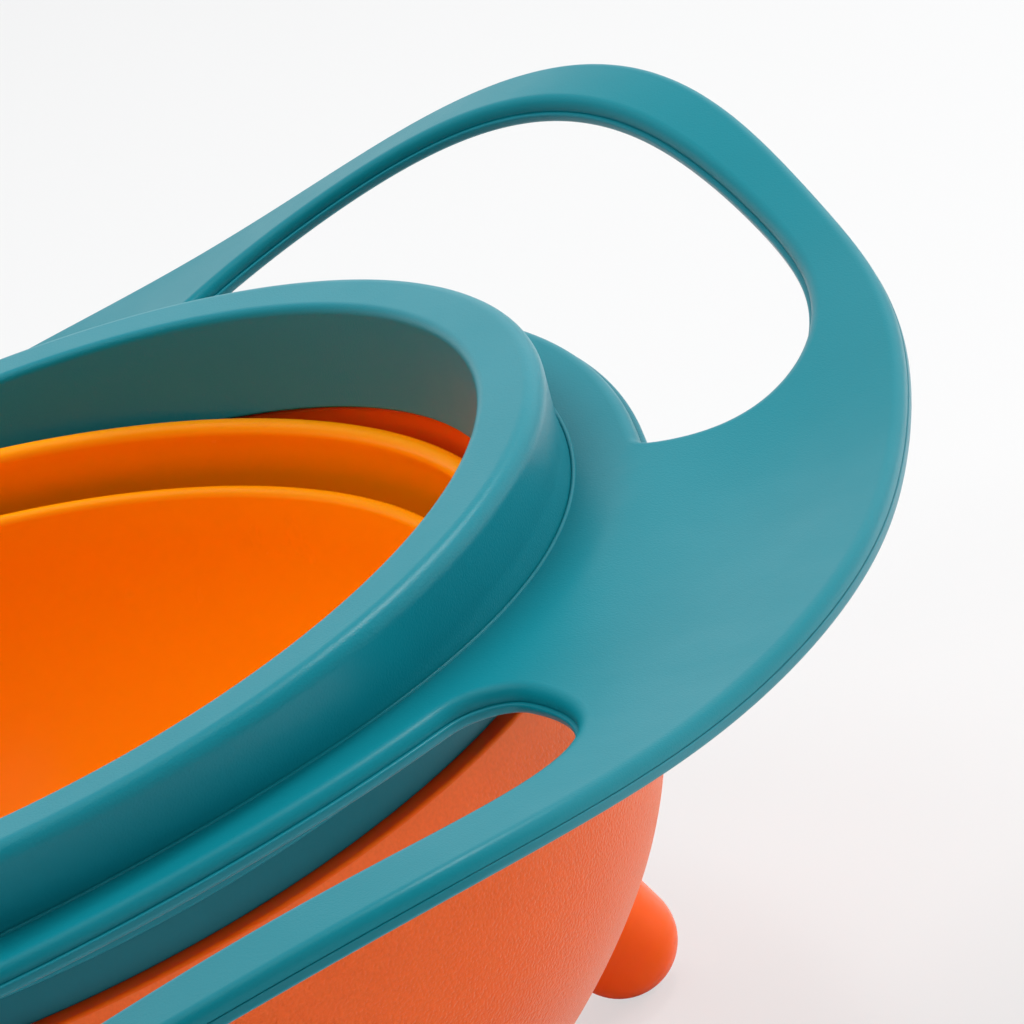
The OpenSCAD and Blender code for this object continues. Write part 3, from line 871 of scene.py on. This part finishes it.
def rod(name, section, matrix, plastic, columns=64):
    """A small turned piece laid along a pin's axis."""
    piece = turned(name, section, plastic, columns=columns, closed=False)
    piece.data.transform(matrix)
    return piece


def bar_section(r, start, finish, chamfer=0.0):
    """Section of a round bar from one distance to another along its pin's axis."""
    return [(0.0, start), (r - chamfer, start), (r, start + chamfer), (r, finish - chamfer),
            (r - chamfer, finish), (0.0, finish)]


print("pins along Y:", *PINS_Y, "and along the swung X:", *PINS_X)

# %% [markdown]
# The band comes first. Then come the bosses, the flat seats for the shoulders of the pins, and last the
# bores, so that each bore goes clean through.

# %% Make the gimbal ring
RING_R = 62.7
RING_WALL = 2.6
RING_UP = 11.5
RING_DOWN = 11.0
RING_TRIM = 0.6
BEAD = 0.1
BEAD_TRIM = 5
PIN_R = 2.0
BOSS_R = 4.2
BOSS_NEAR = 58.6
BOSS_FAR = 62.2
BOSS_CHAMFER = 0.2
SHOULDER_R = 3.2
SPOT_GAP = 0.1
BORE_GAP = 0.04
BORE_NEAR = 57.0
BORE_FAR = 64.0

ring_in_r = RING_R - RING_WALL
ring_mid_r = RING_R - RING_WALL / 2
bead_r = RING_WALL / 2 + BEAD
ring_top, ring_bottom = RING_UP - RING_TRIM, -RING_DOWN + RING_TRIM


def ring_edge(angle, first, last):
    """The bead along an edge of the band, at an angle above the level of the pins."""
    a = math.radians(angle)
    centre = (ring_mid_r * math.cos(a), ring_mid_r * math.sin(a))
    return arc(centre, bead_r, angle + first, angle + last, 14)


ring_section = (arc((0, 0), RING_R, ring_bottom, ring_top, 20)
                + ring_edge(RING_UP, BEAD_TRIM, 180 - BEAD_TRIM)
                + arc((0, 0), ring_in_r, ring_top, ring_bottom, 20)
                + ring_edge(-RING_DOWN, 180 + BEAD_TRIM, 360 - BEAD_TRIM))
boss_section = bar_section(BOSS_R, BOSS_NEAR, BOSS_FAR, BOSS_CHAMFER)
spot_section = bar_section(SHOULDER_R + SPOT_GAP, BOSS_FAR, BORE_FAR)
bore_section = bar_section(PIN_R + BORE_GAP, BORE_NEAR, BORE_FAR)
ring = turned("gimbal_ring_moulding", ring_section, orange_polished, columns=288)
ring.data.transform(swung)
for matrix in PINS_Y.values():
    ring = joined(ring, rod("boss", boss_section, matrix, orange_polished), "UNION")
for matrix in PINS_Y.values():
    ring = joined(ring, rod("spot_face", spot_section, matrix, orange_polished), "DIFFERENCE")
for matrix in [*PINS_Y.values(), *PINS_X.values()]:
    ring = joined(ring, rod("bore", bore_section, matrix, orange_polished), "DIFFERENCE")
settle(ring, "ring", "gimbal_ring")

# %% [markdown]
# ## The food bowl
#
# The inner bowl is a deep round bowl with a flat floor and a rounded rim. It is polished, so it takes soft
# reflections from its own sides. Two bosses outside hold its pins.

# %% Make the food bowl
BOWL_WALL = 2.2
BOWL_RISE = 5.7
BOWL_DEPTH = 46.0
BOWL_GAP = 3.1
BASE_BLEND = 0.5
BASE_TRIM = 0.6
FLOOR_BLEND = 1.2
FLOOR_ROUND = 1.6
FOOD_BOSS_NEAR = 56.0
FOOD_BOSS_FAR = 59.4
FOOD_BORE_FAR = 60.5
FOOD_BORE_GAP = 0.03

rim_centre_r = math.sqrt((ring_in_r - BOWL_GAP - BOWL_WALL / 2) ** 2 - BOWL_RISE ** 2)
bowl_r = rim_centre_r + BOWL_WALL / 2
bowl_in_r = bowl_r - BOWL_WALL
floor_r = math.sqrt(bowl_r ** 2 - BOWL_DEPTH ** 2)
floor_in = BOWL_DEPTH - BOWL_WALL
floor_in_r = math.sqrt(bowl_in_r ** 2 - floor_in ** 2)
outside_from = math.degrees(math.asin(-(BOWL_DEPTH - BASE_BLEND) / bowl_r))
inside_to = math.degrees(math.asin(-(floor_in - FLOOR_BLEND) / bowl_in_r))
floor_round = rounded([(bowl_in_r * math.cos(math.radians(inside_to)), -(floor_in - FLOOR_BLEND), 0),
                       (floor_in_r, -floor_in, FLOOR_ROUND), (0.0, -floor_in, 0)], closed=False)
food_section = ([(0.0, -BOWL_DEPTH), (floor_r - BASE_TRIM, -BOWL_DEPTH)]
                + arc((0, 0), bowl_r, outside_from, 0, 40)
                + arc((rim_centre_r, BOWL_RISE), BOWL_WALL / 2, 0, 180, 20)
                + arc((0, 0), bowl_in_r, 0, inside_to, 48) + floor_round[1:])
food_boss = bar_section(BOSS_R, FOOD_BOSS_NEAR, FOOD_BOSS_FAR, BOSS_CHAMFER)
food_bore = bar_section(PIN_R + FOOD_BORE_GAP, FOOD_BOSS_NEAR, FOOD_BORE_FAR)
food_bowl = turned("food_bowl_moulding", food_section, orange_polished, columns=288, closed=False)
food_bowl.data.transform(swung)
for matrix in PINS_X.values():
    food_bowl = joined(food_bowl, rod("boss", food_boss, matrix, orange_polished), "UNION")
for matrix in PINS_X.values():
    food_bowl = joined(food_bowl, rod("bore", food_bore, matrix, orange_polished), "DIFFERENCE")
settle(food_bowl, "bowl", "inner_bowl")

# %% [markdown]
# ## The pins
#
# Four short pins carry the ring and the food bowl. The ring's pins have a shoulder that keeps the ring off
# the outer bowl. They are left in the natural, unpigmented plastic. Distances run outwards from the point
# where the two axes cross.

# %% Make the pins
PIN_NEAR = 58.65
PIN_FAR = 66.25
PIN_CHAMFER = 0.2
SHOULDER_NEAR = 62.25
SHOULDER_FAR = 63.45
SHOULDER_CHAMFER = 0.15
FOOD_PIN_NEAR = 56.1
FOOD_PIN_FAR = 62.4

shoulder_pin = [
    (0.0, PIN_NEAR), (PIN_R - PIN_CHAMFER, PIN_NEAR), (PIN_R, PIN_NEAR + PIN_CHAMFER),
    (PIN_R, SHOULDER_NEAR), (SHOULDER_R - PIN_CHAMFER, SHOULDER_NEAR),
    (SHOULDER_R, SHOULDER_NEAR + SHOULDER_CHAMFER), (SHOULDER_R, SHOULDER_FAR - SHOULDER_CHAMFER),
    (SHOULDER_R - PIN_CHAMFER, SHOULDER_FAR), (PIN_R, SHOULDER_FAR),
    (PIN_R, PIN_FAR - PIN_CHAMFER), (PIN_R - PIN_CHAMFER, PIN_FAR), (0.0, PIN_FAR)]
plain_pin = bar_section(PIN_R, FOOD_PIN_NEAR, FOOD_PIN_FAR, PIN_CHAMFER)
for body, kind, section, pins in (("ring", "gimbal_pin_", shoulder_pin, PINS_Y),
                                  ("bowl", "bowl_pin_", plain_pin, PINS_X)):
    for side, matrix in pins.items():
        pin = rod(kind + side + "_turned", section, matrix, pin_natural)
        settle(pin, body, kind + side)

# %% [markdown]
# ## The floor
#
# The bowl stands on a plain pale sweep. To the camera the floor is mostly a bright, even white, as an
# overexposed backdrop is, but a part of it still takes light and the object's soft shadow. To the plastic
# it is ordinary white paper.

# %% Make the floor
FLOOR_HALF = 4.0
PAPER = (0.86, 0.86, 0.865, 1)
BACKDROP = (0.85, 0.855, 0.855, 1)
BACKDROP_SHARE = 0.7


def sheet(name, low, high, z):
    """A flat sheet between two corners, in metres."""
    mesh = bpy.data.meshes.new(name)
    mesh.from_pydata([(low[0], low[1], z), (high[0], low[1], z), (high[0], high[1], z), (low[0], high[1], z)],
                     [], [(0, 1, 2, 3)])
    made = bpy.data.objects.new(name, mesh)
    bpy.context.scene.collection.objects.link(made)
    return made


floor = sheet("floor", (-FLOOR_HALF, -FLOOR_HALF), (FLOOR_HALF, FLOOR_HALF), 0)
white_sweep = bpy.data.materials.new("white_sweep")
white_sweep.use_nodes = True
nodes, links = white_sweep.node_tree.nodes, white_sweep.node_tree.links
nodes.clear()
paper = nodes.new("ShaderNodeBsdfDiffuse")
paper.inputs["Color"].default_value = PAPER
bright = nodes.new("ShaderNodeEmission")
bright.inputs["Color"].default_value = BACKDROP
ray = nodes.new("ShaderNodeLightPath")
share = nodes.new("ShaderNodeMath")
share.operation = "MULTIPLY"
share.inputs[1].default_value = BACKDROP_SHARE
blend = nodes.new("ShaderNodeMixShader")
target = nodes.new("ShaderNodeOutputMaterial")
links.new(ray.outputs["Is Camera Ray"], share.inputs[0])
links.new(share.outputs[0], blend.inputs[0])
links.new(paper.outputs[0], blend.inputs[1])
links.new(bright.outputs[0], blend.inputs[2])
links.new(blend.outputs[0], target.inputs["Surface"])
floor.data.materials.append(white_sweep)
print("floor", 2 * FLOOR_HALF, "m across")

# %% [markdown]
# ## The light
#
# A small key lamp stands high behind on the right and gives the highlights their shape. Soft fills from
# the right, the front, low down and overhead open the shadows, and a glow stands for light that the table
# throws back. The fills are hidden from reflections, so they leave no white patches on the plastic.

# %% Make the lights
def lamp(name, place, aim, size, power):
    """An area lamp at a place, turned to what it aims at."""
    light = bpy.data.lights.new(name, "AREA")
    light.shape = "RECTANGLE"
    light.size, light.size_y = size
    light.energy = power
    made = bpy.data.objects.new(name, light)
    made.location = place
    made.rotation_euler = (Vector(aim) - Vector(place)).to_track_quat("-Z", "Y").to_euler()
    bpy.context.scene.collection.objects.link(made)
    print("lamp", name, power, "W")
    return made


lamp("key", (0.57, 0.33, 0.90), (0, 0, 0.06), (0.2, 0.2), 3.4)
for name, place, aim, size, power in (
        ("right_fill", (1.00, 0.10, 0.42), (0, 0, 0.05), (0.6, 0.7), 5.8),
        ("front_fill", (0.25, -0.85, 0.72), (0, 0, 0.05), (0.7, 0.4), 1.7),
        ("low_fill", (0.10, -1.00, 0.08), (0, 0, 0.06), (1.2, 0.12), 1.2),
        ("top_fill", (-0.15, 0.18, 1.00), (0, 0, 0.05), (0.9, 0.9), 9.0),
        ("table_glow", (0.15, -0.40, 0.004), (0.15, -0.40, 1.0), (0.8, 0.5), 0.3)):
    soft = lamp(name, place, aim, size, power)
    soft.visible_glossy = soft.visible_camera = False

# %% [markdown]
# ## What the plastic reflects
#
# A glossy piece shows what stands around it. A photographer lays a black card before the object, out of the
# picture, to keep colours deep. Here the card is seen by reflections alone.

# %% Lay the black card
CARD_LOW = (-0.9, -1.2)
CARD_HIGH = (0.6, -0.16)
CARD_Z = 0.002

card = sheet("black_card", CARD_LOW, CARD_HIGH, CARD_Z)
black = bpy.data.materials.new("black_card")
black.use_nodes = True
ink = black.node_tree.nodes["Principled BSDF"]
ink.inputs["Base Color"].default_value = (0.01, 0.01, 0.01, 1)
ink.inputs["Specular IOR Level"].default_value = 0.0
card.data.materials.append(black)
card.visible_camera = card.visible_diffuse = card.visible_shadow = False
print("black card from", CARD_LOW, "to", CARD_HIGH)

# %% [markdown]
# The strength of the surround depends on direction alone. One factor rises from the front to the back, and
# the other falls from a little above the horizon to overhead; the two are multiplied.

# %% Grade the surround
SURROUND = (0.95, 0.96, 0.97, 1)
FRONT_TO_BACK = (-0.5, 0.8, 0.16, 1.15)
LEVEL_TO_TOP = (0.29, 0.56, 1.0, 0.28)

world = bpy.data.worlds.new("studio")
world.use_nodes = True
nodes, links = world.node_tree.nodes, world.node_tree.links
surround = nodes["Background"]
surround.inputs["Color"].default_value = SURROUND
where = nodes.new("ShaderNodeTexCoord")
parts = nodes.new("ShaderNodeSeparateXYZ")
product = nodes.new("ShaderNodeMath")
product.operation = "MULTIPLY"
links.new(where.outputs["Generated"], parts.inputs["Vector"])
for number, (axis, values) in enumerate((("Y", FRONT_TO_BACK), ("Z", LEVEL_TO_TOP))):
    level = nodes.new("ShaderNodeMapRange")
    for name, value in zip(("From Min", "From Max", "To Min", "To Max"), values):
        level.inputs[name].default_value = value
    links.new(parts.outputs[axis], level.inputs["Value"])
    links.new(level.outputs["Result"], product.inputs[number])
links.new(product.outputs["Value"], surround.inputs["Strength"])
bpy.context.scene.world = world
bpy.context.scene.view_settings.view_transform = "Standard"
print("surround from", FRONT_TO_BACK[2], "in front to", FRONT_TO_BACK[3], "behind")

# %% [markdown]
# ## The camera
#
# The camera has a long lens and looks down by about a quarter of a right angle. It is rolled, so the mouth
# runs across the picture from low left to high right.

# %% Make the camera
CAMERA_PLACE = Vector((44.37, -634.53, 321.77)) * MM
CAMERA_AIM = Vector((62.67, -5.67, 71.73)) * MM
CAMERA_ROLL = math.radians(-24.1)
CAMERA_LENS = 210.94
SENSOR_WIDTH = 36
CLIP = (0.01, 50)

camera_data = bpy.data.cameras.new("camera")
camera_data.sensor_width = SENSOR_WIDTH
camera_data.lens = CAMERA_LENS
camera_data.clip_start, camera_data.clip_end = CLIP
camera = bpy.data.objects.new("camera", camera_data)
look = (CAMERA_AIM - CAMERA_PLACE).to_track_quat("-Z", "Y").to_matrix().to_4x4()
camera.matrix_world = Matrix.Translation(CAMERA_PLACE) @ look @ Matrix.Rotation(CAMERA_ROLL, 4, "Z")
bpy.context.scene.collection.objects.link(camera)
bpy.context.scene.camera = camera
print("camera right", [round(v, 4) for v in camera.matrix_world.col[0][:3]])
